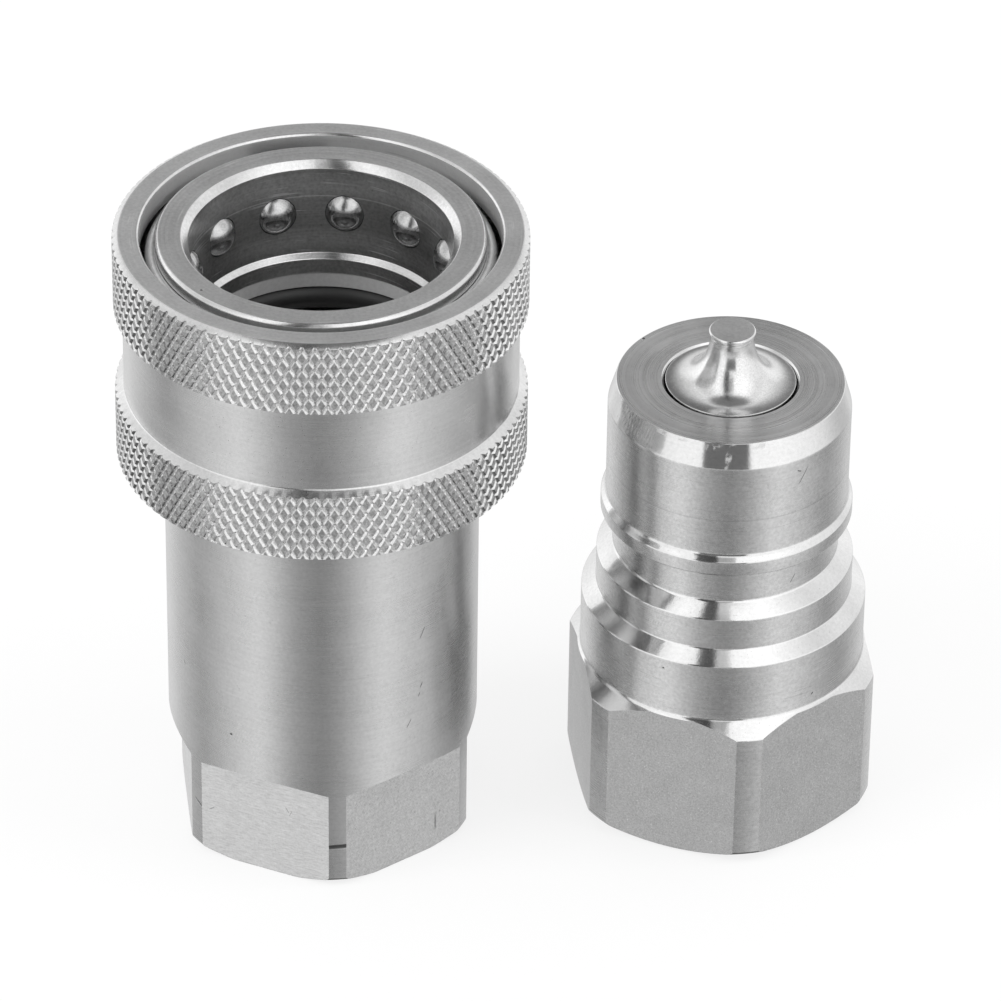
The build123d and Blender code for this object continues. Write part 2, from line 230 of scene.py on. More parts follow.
class Tree:
    """A node tree under construction."""

    def __init__(self, nodes_of):
        self.tree = nodes_of

    def node(self, kind, settings=None, inputs=None):
        """Adds a node: first its settings, then the values or links of its inputs."""
        made = self.tree.nodes.new(kind)
        for name, value in (settings or {}).items():
            setattr(made, name, value)
        for key, value in (inputs or {}).items():
            self.put(made.inputs[key], value)
        return made

    def put(self, socket, value):
        """Links a socket to another one, or sets its value."""
        if isinstance(value, Num):
            self.tree.links.new(value.socket, socket)
        elif isinstance(value, bpy.types.NodeSocket):
            self.tree.links.new(value, socket)
        else:
            socket.default_value = value

    def num(self, socket):
        return Num(self, socket)

    def math(self, operation, *values):
        """A Math node's result."""
        made = self.node("ShaderNodeMath", {"operation": operation}, dict(enumerate(values)))
        return Num(self, made.outputs[0])

    def equals(self, value, whole):
        """1 where a value is the given whole number, else 0."""
        return self.math("COMPARE", value, whole, 0.5)

    def clamp(self, value, low, high):
        return self.math("MINIMUM", self.math("MAXIMUM", value, low), high)

    def vector(self, x, y, z):
        return self.node("ShaderNodeCombineXYZ", None, {0: x, 1: y, 2: z}).outputs[0]

    def split(self, vector):
        """A vector's three numbers."""
        made = self.node("ShaderNodeSeparateXYZ", None, {0: vector})
        return [Num(self, socket) for socket in made.outputs]

    def step(self, value, low, high):
        """0 below low, 1 above high, smooth between."""
        made = self.node(
            "ShaderNodeMapRange",
            {"interpolation_type": "SMOOTHSTEP"},
            {"Value": value, "From Min": low, "From Max": high},
        )
        return Num(self, made.outputs[0])

    def near(self, value, centre, half, soft):
        """1 within half of centre, 0 further out, with soft edges."""
        off = self.math("ABSOLUTE", value - centre)
        return 1.0 - self.step(off, half - soft, half + soft)

    def noise(self, vector, scale, detail):
        """Smooth noise about 0.5."""
        made = self.node(
            "ShaderNodeTexNoise",
            {"noise_dimensions": "3D"},
            {"Vector": vector, "Scale": scale, "Detail": detail, "Roughness": 0.5},
        )
        return Num(self, made.outputs[0])

    def grey(self, value):
        """A colour with the same number in all three channels."""
        made = self.node("ShaderNodeCombineColor", None, {0: value, 1: value, 2: value})
        return made.outputs[0]


# Turned and cut shapes

def rounded(outline, steps=3):
    """Points of an outline of (radius, height, rounding), its corners rounded by curves."""
    longest = 0.45  # share of a side that one rounding may take
    smallest = 0.005
    points = []
    count = len(outline)
    for i, (r, z, size) in enumerate(outline):
        here = Vector((r, z))
        back = Vector(outline[i - 1][:2]) - here
        ahead = Vector(outline[(i + 1) % count][:2]) - here
        reach = min(size, longest * back.length, longest * ahead.length)
        if reach < smallest:
            points.append(here)
            continue
        start = here + back.normalized() * reach
        end = here + ahead.normalized() * reach
        for k in range(steps + 1):
            t = k / steps
            points.append(start * (1 - t) ** 2 + here * (2 * t * (1 - t)) + end * t * t)
    return points


def turned(name, outline, axis, around=256):
    """Closed ring-shaped solid turned about a vertical axis."""
    mesh = bmesh.new()
    points = rounded(outline)
    rings = []
    on_axis = 1e-6
    poles = {
        j: mesh.verts.new((axis[0], axis[1], point.y * MM))
        for j, point in enumerate(points)
        if point.x < on_axis
    }
    for k in range(around):
        angle = TURN * k / around
        ring = []
        for j, point in enumerate(points):
            x = axis[0] + point.x * MM * math.cos(angle)
            y = axis[1] + point.x * MM * math.sin(angle)
            ring.append(poles.get(j) or mesh.verts.new((x, y, point.y * MM)))
        rings.append(ring)
    for k in range(around):
        here, there = rings[k], rings[(k + 1) % around]
        for j in range(len(points)):
            n = (j + 1) % len(points)
            corners = list(dict.fromkeys((here[j], there[j], there[n], here[n])))
            if len(corners) > 2:
                mesh.faces.new(corners)
    return solid(name, mesh)


def prism(name, corners, low, high, place):
    """Upright prism over a flat outline, in millimetres, moved by a matrix."""
    mesh = bmesh.new()
    floor = [mesh.verts.new((x * MM, y * MM, low * MM)) for x, y in corners]
    roof = [mesh.verts.new((x * MM, y * MM, high * MM)) for x, y in corners]
    mesh.faces.new(floor)
    mesh.faces.new(roof)
    for i in range(len(corners)):
        j = (i + 1) % len(corners)
        mesh.faces.new((floor[i], floor[j], roof[j], roof[i]))
    return solid(name, mesh, place)


def placed(axis, height=0.0, angle=0.0):
    """Matrix to an axis, with a height in millimetres and a turn in degrees."""
    spot = Matrix.Translation((axis[0], axis[1], height * MM))
    return spot @ Matrix.Rotation(math.radians(angle), 4, "Z")


def solid(name, mesh, place=Matrix.Identity(4)):
    """A new object from a closed mesh, its faces turned outward, moved by a matrix."""
    bmesh.ops.recalc_face_normals(mesh, faces=mesh.faces)
    mesh.transform(place)
    return as_object(name, mesh)


def as_object(name, mesh):
    """A new object that holds a finished mesh."""
    data = bpy.data.meshes.new(name)
    mesh.to_mesh(data)
    mesh.free()
    piece = bpy.data.objects.new(name, data)
    bpy.context.collection.objects.link(piece)
    return piece


def baked(piece):
    """Applies a piece's modifiers, leaving a plain mesh."""
    bpy.context.view_layer.update()
    result = piece.evaluated_get(bpy.context.evaluated_depsgraph_get())
    shape = bpy.data.meshes.new_from_object(result)
    piece.modifiers.clear()
    piece.data = shape
    return piece


def combine(piece, others, operation):
    """Cuts others from a piece, or keeps what they share."""
    for other in others:
        change = piece.modifiers.new(operation.lower(), "BOOLEAN")
        change.operation = operation
        change.solver = "MANIFOLD"
        change.object = other
    baked(piece)
    for other in others:
        bpy.data.objects.remove(other)
    return piece


def shaded(piece, sharp_deg=24.0):
    """Smooth shading with crisp edges, weighted so that broad faces stay even."""
    for face in piece.data.polygons:
        face.use_smooth = True
    piece.data.set_sharp_from_angle(angle=math.radians(sharp_deg))
    even = piece.modifiers.new("even", "WEIGHTED_NORMAL")
    even.keep_sharp = True
    return baked(piece)


def port_cut(axis):
    """Pipe thread groove of the port: a three-sided bar wound up by its pitch and radii.

    The bar's corner at x = 1 runs along the groove's bottom, those at y = -0.866 and 0.866
    along its lips.
    """
    group = bpy.data.node_groups.new("thread groove", "GeometryNodeTree")
    t = Tree(group)
    turns = float(thread_turns)
    sizes = {"Pitch": port_pitch, "Minor": port_minor_r, "Major": port_major_r, "Turns": turns}
    source, result = group_ends(group, sizes)
    pitch, minor, major, turns = [t.num(source.outputs[name]) for name in sizes]
    bar, (x, y, z) = unit_bar(t, 3, 40 * thread_turns)
    along = z + 0.5
    depth = major - minor + thread_overcut
    radius = major - (1.0 - x) * depth / 1.5
    lift = y / 0.866 * pitch * 0.46
    height = along * turns * pitch - pitch + lift
    wound = bent(t, bar, axis, radius, along * turns * TURN, height)
    finish_tree(t, outward(t, wound), result)
    return grown("thread groove", group, sizes)


def unit_bar(t, sides, segments):
    """Upright bar of radius 1 and length 1, to be bent, and the coordinates of its points."""
    sizes = {"Vertices": sides, "Side Segments": segments, "Radius": 1.0, "Depth": 1.0}
    bar = t.node("GeometryNodeMeshCylinder", None, sizes)
    return bar, t.split(t.node("GeometryNodeInputPosition").outputs[0])


def bent(t, shape, axis, radius, angle, height):
    """Moves a shape's points about an axis: radius and height in millimetres, angle in radians."""
    place = t.vector(
        radius * t.math("COSINE", angle) * MM + axis[0],
        radius * t.math("SINE", angle) * MM + axis[1],
        height * MM,
    )
    sizes = {"Geometry": shape.outputs[0], "Position": place}
    return t.node("GeometryNodeSetPosition", None, sizes).outputs[0]


def outward(t, mesh):
    """Turns the faces of a bent shape outward."""
    return t.node("GeometryNodeFlipFaces", None, {"Mesh": mesh}).outputs[0]


def group_ends(group, sizes, takes_mesh=False):
    """Inputs and output of a geometry tree, with one named input for each size."""
    if takes_mesh:
        group.interface.new_socket("Geometry", in_out="INPUT", socket_type="NodeSocketGeometry")
    for name, value in sizes.items():
        socket = group.interface.new_socket(name, in_out="INPUT", socket_type="NodeSocketFloat")
        socket.default_value = value
    group.interface.new_socket("Geometry", in_out="OUTPUT", socket_type="NodeSocketGeometry")
    return group.nodes.new("NodeGroupInput"), group.nodes.new("NodeGroupOutput")


def finish_tree(t, geometry, result):
    """Ends a geometry tree: instances made real, then a Set Material node that holds no material.
    """
    real = t.node("GeometryNodeRealizeInstances", None, {"Geometry": geometry})
    dressed = t.node("GeometryNodeSetMaterial", None, {"Geometry": real.outputs[0]})
    t.put(result.inputs[0], dressed.outputs[0])


def grown(name, group, sizes, base=None):
    """Runs a geometry tree on a piece, or on nothing, and keeps the plain mesh."""
    piece = base or as_object(name, bmesh.new())
    change = piece.modifiers.new(name, "NODES")
    change.node_group = group
    for item in group.interface.items_tree:
        if item.in_out == "INPUT" and item.name in sizes:
            change[item.identifier] = sizes[item.name]
    return baked(piece)


knurl_inputs = ["Radius", "Depth", "Teeth", "Share", "Angle", "Middle", "Axis X", "Axis Y"]


def knurl_tree():
    """Tree that cuts flat-topped diamonds into a band, between two crossing sets of grooves.

    The grid counts along one set of grooves, and each row is shifted along the other set, so
    that every groove bottom and every edge of a diamond falls on a line of the mesh. Its last
    three rows close it outside the band.
    """
    group = bpy.data.node_groups.new("diamond grip", "GeometryNodeTree")
    t = Tree(group)
    source, result = group_ends(group, dict.fromkeys(knurl_inputs, 1.0), takes_mesh=True)
    numbers = [t.num(source.outputs[name]) for name in knurl_inputs]
    radius, depth, teeth, share, lean, middle_z, *axis = numbers
    rows = 3 * knurl_rows
    across = rows + 4
    sizes = {"Vertices X": 3 * knurl_teeth + 1, "Vertices Y": across}
    grid = t.node("GeometryNodeMeshGrid", None, sizes)
    index = t.num(t.node("GeometryNodeInputIndex").outputs[0])
    column = t.math("FLOOR", (index + 0.5) / across)
    row = t.math("MINIMUM", index - column * across, float(rows))
    edge = index - column * across - rows
    closing = t.equals(edge, 3.0)
    wall = t.equals(edge, 1.0) + t.equals(edge, 2.0)
    at_foot = t.equals(edge, 2.0) + closing
    row = row * (1.0 - at_foot)

    def along(count):
        """Place along one set of grooves, in teeth, and whether a groove's bottom is there."""
        whole = t.math("FLOOR", (count + 0.5) / 3.0)
        part = count - whole * 3.0
        place = whole + t.equals(part, 1.0) * share + t.equals(part, 2.0) * (1.0 - share)
        return place, t.equals(part, 0.0)

    u, u_groove = along(column)
    v, v_groove = along(column - row)
    pitch = radius * TURN / teeth
    angle = (u + v) / teeth * math.pi
    height = middle_z + (u - v - knurl_rows / 2) * pitch / t.math("TANGENT", lean) / 2.0
    groove = depth * t.math("MAXIMUM", u_groove, v_groove) * (1.0 - wall)
    band = bent(t, grid, axis, radius - knurl_skim - groove + wall, angle, height)
    sizes = {"Geometry": band, "Distance": 1e-7}
    closed = t.node("GeometryNodeMergeByDistance", None, sizes).outputs[0]
    split = t.node("GeometryNodeTriangulate", {"quad_method": "FIXED"}, {"Mesh": closed})
    cut = t.node("GeometryNodeMeshBoolean", {"operation": "DIFFERENCE", "solver": "MANIFOLD"})
    t.put(cut.inputs["Mesh 1"], source.outputs["Geometry"])
    t.put(cut.inputs["Mesh 2"], outward(t, split.outputs[0]))
    finish_tree(t, cut.outputs[0], result)
    return group


coil_inputs = ["Mean", "Wire", "Turns", "Low", "High", "Axis X", "Axis Y"]


def coil_tree():
    """Tree for a round-wire compression spring with closed end coils."""
    group = bpy.data.node_groups.new("coil", "GeometryNodeTree")
    t = Tree(group)
    source, result = group_ends(group, dict.fromkeys(coil_inputs, 1.0))
    mean, wire, turns, low, high, *axis = [t.num(source.outputs[name]) for name in coil_inputs]
    bar, (x, y, z) = unit_bar(t, 16, 288)
    turn = (z + 0.5) * turns
    closed = wire * 2.06  # rise of an end coil, which lies just free of the next
    rise = (high - low - wire * 2.0 - closed * 2.0) / (turns - 2.0)
    first = t.math("MINIMUM", turn, 1.0)
    last = t.math("MAXIMUM", turn - (turns - 1.0), 0.0)
    height = low + wire + (first + last) * closed + (turn - first - last) * rise
    wound = bent(t, bar, axis, mean + x * wire, turn * TURN, height + y * wire)
    finish_tree(t, outward(t, wound), result)
    return group


# Finishes

class Finish:
    """A finish in the making, with coordinates about a turned piece's axis."""

    def __init__(self, name, axis):
        self.material = bpy.data.materials.new(name)
        self.material.use_nodes = True
        tree = self.material.node_tree
        tree.nodes.clear()
        self.t = t = Tree(tree)
        self.shader = t.node("ShaderNodeBsdfPrincipled")
        out = t.node("ShaderNodeOutputMaterial")
        t.put(out.inputs["Surface"], self.shader.outputs[0])
        self.place = t.node("ShaderNodeTexCoord").outputs["Object"]
        x, y, self.z = t.split(self.place)
        self.x, self.y = x - axis[0], y - axis[1]
        self.radius = (self.x * self.x + self.y * self.y) ** 0.5
        self.turn = t.math("ARCTAN2", self.x, -self.y)

    def lathe_lines(self, pitch_mm, drift=0.033):
        """Fine rings left by a turning tool, on sides and faces, drifting slowly round."""
        k = 1.0 / (pitch_mm * MM)
        slow = drift / MM
        place = self.t.vector(self.radius * k + self.x * slow, self.z * k, self.y * slow)
        return self.t.noise(place, 1.0, 2.0)

    def scratches(self):
        """Mask of fine straight scratches a few millimetres long, nearly level."""
        t = self.t
        k = 1.0 / (0.15 * MM)
        slow = 0.22 / MM
        level = self.z + self.x * 0.04
        place = t.vector(self.radius * k + self.x * slow, level * k, self.y * slow)
        lines = t.step(t.noise(place, 1.0, 0.0), 0.68, 0.76)
        return lines * t.step(self.grain(4.0, 1.0), 0.45, 0.6)

    def pit(self, x_mm, y_mm, size_mm):
        """Mask of a small round pit in a level face, placed from the axis."""
        off_x, off_y = self.x - x_mm * MM, self.y - y_mm * MM
        reach = (off_x * off_x + off_y * off_y) ** 0.5
        return 1.0 - self.t.step(reach, 0.5 * size_mm * MM, size_mm * MM)

    def grain(self, size_mm, detail=2.0):
        """Noise without direction, by the size of its grains."""
        return self.t.noise(self.place, 1.0 / (size_mm * MM), detail)

    def mark(self, turn_deg, height_mm, half_deg, half_mm, tilt=0.0):
        """Mask of one short score or nick, tilt in millimetres of rise per degree."""
        t = self.t
        off = self.turn - math.radians(turn_deg)
        rise = self.z - height_mm * MM - off * (tilt * MM * 180 / math.pi)
        wide = t.near(off, 0.0, math.radians(half_deg), math.radians(half_deg) * 0.4)
        return wide * t.near(rise, 0.0, half_mm * MM, half_mm * MM * 0.6)

    def all_marks(self, marks):
        """Mask of several marks together."""
        total = 0.0
        for mark in marks:
            total = self.mark(*mark) + total
        return total

    def relief(self, layers, edge_mm=0.0):
        """Bumps, each of (height, strength, depth in millimetres), on top of eased edges."""
        normal = None
        if edge_mm:
            eased = self.t.node("ShaderNodeBevel", {"samples": 4}, {"Radius": edge_mm * MM})
            normal = eased.outputs[0]
        for height, strength, depth_mm in layers:
            inputs = {"Strength": strength, "Distance": depth_mm * MM, "Height": height}
            if normal:
                inputs["Normal"] = normal
            normal = self.t.node("ShaderNodeBump", None, inputs).outputs[0]
        if normal:
            self.t.put(self.shader.inputs["Normal"], normal)

    def cover(self, tone, rough, metallic=1.0):
        """Sets the shader's grey tone and roughness, for bare metal if not said otherwise."""
        self.t.put(self.shader.inputs["Base Color"], self.t.grey(tone))
        self.t.put(self.shader.inputs["Roughness"], rough)
        self.t.put(self.shader.inputs["Metallic"], metallic)


def turned_steel(
    name, axis, tone, rough, lines=1.0, streak=0.7, wear=1.0, grooves=0.06, scored=-0.12,
    marks=(), pits=(), glinting_burrs=(), rings=(),
):
    """Zinc-plated turned steel: ring lines, clouds, scratches, nicks, rough burrs lightened as
    painted glints, dark wear rings and bands of painted light.

    lines, wear, grooves and scored weigh the fine rings, the mottle, the broad rings and the
    scratches. Scratches are dark where scored is negative. A ring with a positive strength is a
    dark wear ring; one with a negative strength is a band of painted light.
    """
    f = Finish(name, axis)
    t = f.t
    fine = f.lathe_lines(0.07)
    broad = f.lathe_lines(0.32, 0.015)
    cloud = f.grain(5.0, 3.0)
    mottle = f.grain(0.32, 3.0)
    speck = t.step(f.grain(0.22, 1.0), 0.70, 0.76)
    scratch = f.scratches()
    colour = tone + (fine - 0.5) * (0.10 * lines) + (broad - 0.5) * grooves + (cloud - 0.5) * 0.12
    colour = colour + (mottle - 0.5) * (0.10 * wear) - speck * 0.08 + scratch * scored
    rough_now = rough + (cloud - 0.5) * 0.14 + (fine - 0.5) * (0.12 * lines) + speck * 0.1
    layers = [
        (fine, 0.25 * lines, 0.01),
        (mottle, 0.14 * wear, 0.012),
        (broad, grooves * 2.0, 0.02),
    ]
    if marks or pits:
        hurt = f.all_marks(marks)
        for pit in pits:
            hurt = f.pit(*pit) + hurt
        colour = colour * (1.0 - hurt * 0.75)
        layers.append((1.0 - hurt, 0.8, 0.08))
    # Rings: a positive strength darkens a wear ring, a negative one lightens a band as painted
    # light.
    for height, half, strength in rings:
        band = t.near(f.z, height * MM, half * MM, half * MM * 0.7) * (0.4 + f.grain(3.0))
        colour = colour * (1.0 - band * strength)
    # Burrs are made rougher, and their lighter colour is a painted glint.
    if glinting_burrs:
        burr_glint_mask = f.all_marks(glinting_burrs) * t.step(f.grain(0.9, 3.0), 0.38, 0.62)
        colour = colour * (1.0 - burr_glint_mask * 0.5) + burr_glint_mask * 0.45
        rough_now = rough_now + burr_glint_mask * 0.45
    f.cover(t.clamp(colour, 0.02, 0.95), t.clamp(rough_now, 0.05, 0.9))
    f.shader.inputs["Anisotropic"].default_value = streak
    f.shader.inputs["Anisotropic Rotation"].default_value = 0.25
    f.relief(layers)
    return f.material


def knurled_steel(name, axis, tone, rough):
    """Grip diamonds: rough flat tops and pressed bright flanks."""
    f = Finish(name, axis)
    t = f.t
    top = t.step(f.radius, (grip_r - 0.06) * MM, (grip_r - knurl_skim) * MM)
    grit = f.grain(0.26, 3.0)
    fleck = t.step(f.grain(0.2, 1.0), 0.62, 0.70)
    colour = tone + (grit - 0.5) * (0.3 + top * 0.5) - top * 0.20 + fleck * 0.14
    f.cover(t.clamp(colour, 0.05, 0.97), rough + top * 0.3)
    f.relief([(grit, 0.6, 0.04)])
    return f.material


def milled_steel(name, axis, tone, level, hatch, marks):
    """Milled spanner flat: level tool lines, crossed by slanting ones both ways."""
    f = Finish(name, axis)
    t = f.t
    k = 1.0 / (0.16 * MM)
    slow = 0.2 * k
    side = f.x + f.y
    lines = t.noise(t.vector(f.x * slow, f.y * slow, f.z * k), 1.0, 4.0)
    grit = f.grain(0.2, 2.0)
    rising = t.noise(t.vector((side - f.z) * k, (side + f.z) * slow, 0.0), 1.0, 2.0)
    falling = t.noise(t.vector((side + f.z) * k, (side - f.z) * slow, 5.0), 1.0, 2.0)
    cross = (rising + falling) * 0.5
    cloud = f.grain(3.0, 3.0)
    colour = tone + (lines - 0.5) * (0.44 * level) + (cross - 0.5) * hatch + (cloud - 0.5) * 0.10
    colour = (colour + (grit - 0.5) * 0.24) * (1.0 - f.all_marks(marks) * 0.5)
    rough_now = 0.40 + (lines - 0.5) * (0.2 * level) + (cross - 0.5) * hatch
    f.cover(t.clamp(colour, 0.02, 0.97), t.clamp(rough_now, 0.1, 0.9))
    f.relief([(lines, 0.8 * level, 0.03), (cross, hatch * 2.0, 0.03), (grit, 0.5, 0.02)], 0.1)
    return f.material


def blasted_steel(name, axis, tone, rough):
    """Forged and blasted hexagon flat: fine grain with painted glints."""
    f = Finish(name, axis)
    t = f.t
    grit = f.grain(0.16, 3.0)
    glint = t.step(f.grain(0.11, 1.0), 0.66, 0.74)
    cloud = f.grain(2.5, 3.0)
    # glint adds bright specks to the colour: painted glints on the blasted grain.
    colour = tone + (grit - 0.5) * 0.5 + glint * 0.25 + (cloud - 0.5) * 0.1
    f.cover(t.clamp(colour, 0.05, 0.97), rough + (grit - 0.5) * 0.25)
    f.relief([(grit, 0.7, 0.03), (f.grain(0.5, 2.0), 0.3, 0.03)], 0.12)
    return f.material


def polished_steel(name, axis, tone, rough, frost):
    """Polished steel with a trace of oil, fine scuffs and a frosty grain."""
    f = Finish(name, axis)
    scuff = f.grain(0.6, 4.0)
    grain = f.grain(0.14, 2.0)
    rough_now = f.t.clamp(rough + (scuff - 0.5) * 0.12, 0.03, 0.6)
    f.cover(tone + (scuff - 0.5) * 0.1 + (grain - 0.5) * frost, rough_now)
    f.relief([(scuff, 0.08, 0.01), (grain, frost, 0.012)])
    return f.material


def soft_ring(name, axis, tone, rough):
    """Moulded ring: rubber or fluoropolymer."""
    f = Finish(name, axis)
    skin = f.grain(0.35, 3.0)
    f.cover(tone * (0.85 + skin * 0.3), rough + (skin - 0.5) * 0.2, metallic=0.0)
    f.relief([(skin, 0.2, 0.01)])
    return f.material


def drawn_wire(name, axis, tone, rough):
    """Drawn spring wire."""
    f = Finish(name, axis)
    skin = f.grain(0.5, 4.0)
    f.cover(tone + (skin - 0.5) * 0.2, f.t.clamp(rough + (skin - 0.5) * 0.3, 0.05, 0.9))
    f.relief([(skin, 0.15, 0.01)])
    return f.material


# Shapes of the pieces

def polygon(radius, count, start=0.0):
    """Corners of a regular polygon about the origin, from a starting angle in degrees."""
    angles = [math.radians(start + 360 / count * k) for k in range(count)]
    return [(radius * math.cos(angle), radius * math.sin(angle)) for angle in angles]


def chamber_outline(valve_z, lead):
    """Inner outline from the valve hole, with its lead-in chamfer, down to the port's mouth."""
    return [
        (valve_hole_r + lead, valve_z, 0.0),
        (valve_hole_r, valve_z - lead, 0.0),
        (valve_hole_r, valve_z - valve_land_h, 0.06),
        (chamber_r, valve_z - valve_land_h - (chamber_r - valve_hole_r), 0.06),
        (chamber_r, ring_slot_high, 0.0),
        (ring_slot_r, ring_slot_high, 0.0),
        (ring_slot_r, ring_slot_low, 0.0),
        (chamber_r, ring_slot_low, 0.0),
        (chamber_r, port_length, 0.05),
        (port_minor_r, port_length, 0.0),
        (port_minor_r, port_mouth_r - port_minor_r, 0.0),
        (port_mouth_r, 0.0, 0.1),
    ]


def ball_pocket_cutter(angle):
    """Drill with a conical nose, laid radially at the balls' height."""
    nose = 0.4 * ball_r
    shoulder = guide_bore_r + ball_pocket_r - ball_seat_r
    outside = socket_front_r + 1
    outline = [
        (0.0, guide_bore_r - nose),
        (ball_seat_r - nose, guide_bore_r - nose),
        (ball_pocket_r, shoulder),
        (ball_pocket_r, outside),
        (0.0, outside),
    ]
    mesh = bmesh.new()
    around = 32
    rows = []
    for r, reach in outline:
        if r == 0.0:
            rows.append([mesh.verts.new((reach * MM, 0, 0))])
            continue
        rows.append([mesh.verts.new((reach * MM, y, z)) for y, z in polygon(r * MM, around)])
    for low, high in zip(rows, rows[1:]):
        for k in range(around):
            n = (k + 1) % around
            face = [low[k % len(low)], low[n % len(low)], high[n % len(high)], high[k % len(high)]]
            mesh.faces.new(list(dict.fromkeys(face)))
    return solid("pocket cutter", mesh, placed(SOCKET_AXIS, ball_z, angle))


def flat_cutter(angle):
    """Mill that cuts one spanner flat with its sloping run-out."""
    near = socket_flats_af / 2
    far = socket_body_r + 1
    rise = (far - near) * socket_flats_runout
    mesh = bmesh.new()
    side = []
    for y in (-socket_body_r, socket_body_r):
        outline = [(near, -1), (near, socket_flats_z), (far, socket_flats_z + rise), (far, -1)]
        side.append([mesh.verts.new((x * MM, y * MM, z * MM)) for x, z in outline])
    mesh.faces.new(side[0])
    mesh.faces.new(side[1])
    for i in range(4):
        j = (i + 1) % 4
        mesh.faces.new((side[0][i], side[0][j], side[1][j], side[1][i]))
    return solid("flat cutter", mesh, placed(SOCKET_AXIS, 0.0, angle))


def socket_housing():
    """Socket's body: turned profile, spanner flats, ball pockets and port thread."""
    groove_low = stop_groove_z - stop_groove_h / 2
    groove_high = stop_groove_z + stop_groove_h / 2
    outline = chamber_outline(socket_valve_z, 0.06) + [
        (socket_foot_r, 0.0, 0.12),
        (socket_body_r, socket_foot_h, 0.25),
        (socket_body_r, collar_low, 0.0),
        (collar_r - socket_edge, collar_low, 0.0),
        (collar_r, collar_low + socket_edge, 0.0),
        (collar_r, collar_high, 0.1),
        (socket_waist_r, collar_high, 0.1),
        (socket_waist_r, land_bottom_z - 1, 0.0),
        (socket_front_r, land_bottom_z - 0.7, 0.0),
        (socket_front_r, groove_low, 0.06),
        (stop_groove_r, groove_low, 0.3),
        (stop_groove_r, groove_high, 0.3),
        (socket_front_r, groove_high, 0.06),
        (socket_front_r, socket_face_z - socket_edge, 0.1),
        (socket_front_r - socket_edge, socket_face_z, 0.1),
        (guide_bore_r + guide_bore_chamfer, socket_face_z, 0.08),
        (guide_bore_r, socket_face_z - guide_bore_chamfer, 0.08),
        (guide_bore_r, socket_face_z - guide_bore_depth, 0.06),
        (seal_bore_r, socket_face_z - seal_bore_depth, 0.08),
        (seal_bore_r, gland_high, 0.06),
        (gland_r, gland_high, 0.1),
        (gland_r, gland_low, 0.1),
        (seal_bore_r, gland_low, 0.06),
        (seal_bore_r, socket_valve_z, 0.15),
    ]
    body = turned("socket_housing", outline, SOCKET_AXIS)
    cutters = [flat_cutter(socket_flats_angle + 30 + 60 * i) for i in range(6)]
    cutters += [ball_pocket_cutter(ball_phase + 360 / ball_count * i) for i in range(ball_count)]
    cutters.append(port_cut(SOCKET_AXIS))
    combine(body, cutters, "DIFFERENCE")
    return shaded(body)


def plug_housing():
    """Plug's body: turned profile kept inside a hexagon with a round shank above, port thread."""
    outline = chamber_outline(plug_nose_z, 0.2) + [
        (plug_foot_r, 0.0, 0.12),
        (plug_corner_r, plug_foot_h, 0.3),
        (plug_corner_r, plug_hex_z, 0.12),
        (plug_flange_r, plug_flange_low, 0.3),
        (plug_flange_r, plug_flange_high, 0.12),
        (plug_shoulder_r, plug_shoulder_low, 0.12),
        (plug_shoulder_r, plug_shoulder_high, 0.12),
        (lock_groove_r, lock_groove_low, 0.2),
        (lock_groove_r, lock_groove_high, 0.25),
        (ridge_r - ridge_edge, lock_groove_high, 0.06),
        (ridge_r, lock_groove_high + ridge_edge, 0.08),
        (ridge_r, ridge_high, 0.12),
        (barrel_r, barrel_low, 0.3),
        (barrel_r, barrel_high, 0.15),
        (plug_nose_r, plug_nose_z, 0.12),
    ]
    body = turned("plug_housing", outline, PLUG_AXIS)
    spot = placed(PLUG_AXIS)
    corners = polygon(plug_hex_af / 2 / math.cos(math.radians(30)), 6, plug_hex_angle)
    envelope = prism("hexagon", corners, -1, plug_flange_low + 0.0001, spot)
    circle = polygon(plug_shank_r, 128)
    shank = prism("shank", circle, plug_shank_low, plug_shank_high, spot)
    combine(envelope, [shank], "UNION")
    combine(body, [envelope], "INTERSECT")
    combine(body, [port_cut(PLUG_AXIS)], "DIFFERENCE")
    return shaded(body)


def sleeve():
    """Locking sleeve: turned profile with ramp and land for the balls, two knurled bands."""
    outline = [
        (grip_r - sleeve_rim_chamfer, sleeve_low, 0.1),
        (grip_r, lower_grip_low, 0.05),
        (grip_r, lower_grip_high, 0.05),
        (sleeve_waist_r, lower_grip_high + sleeve_waist_ramp_h, 0.15),
        (sleeve_waist_r, upper_grip_low, 0.1),
        (grip_r, upper_grip_low, 0.05),
        (grip_r, upper_grip_high, 0.05),
        (grip_r - sleeve_rim_chamfer, sleeve_high, 0.1),
        (sleeve_mouth_r + sleeve_mouth_chamfer, sleeve_high, 0.06),
        (sleeve_mouth_r, sleeve_high - sleeve_mouth_chamfer, 0.06),
        (sleeve_mouth_r, lock_ramp_high, 0.2),
        (lock_land_r, lock_ramp_low, 0.1),
        (lock_land_r, land_bottom_z, 0.1),
        (sleeve_skirt_r, land_bottom_z, 0.2),
        (sleeve_skirt_r, sleeve_low + sleeve_skirt_chamfer, 0.0),
        (sleeve_skirt_r + sleeve_skirt_chamfer, sleeve_low, 0.0),
    ]
    body = turned("knurled_sleeve", outline, SOCKET_AXIS, 3 * knurl_teeth)
    lean = math.radians(knurl_angle)
    share = knurl_depth / math.cos(lean) * knurl_teeth / (TURN * grip_r)
    teeth = float(knurl_teeth)
    group = knurl_tree()
    for low, high in ((lower_grip_low, lower_grip_high), (upper_grip_low, upper_grip_high)):
        sizes = (grip_r, knurl_depth, teeth, share, lean, (low + high) / 2, *SOCKET_AXIS)
        grown("grip", group, dict(zip(knurl_inputs, sizes)), body)
    shaded(body, 20.0)
    for face in body.data.polygons:
        face.use_smooth = not grip_face(face)
    return body


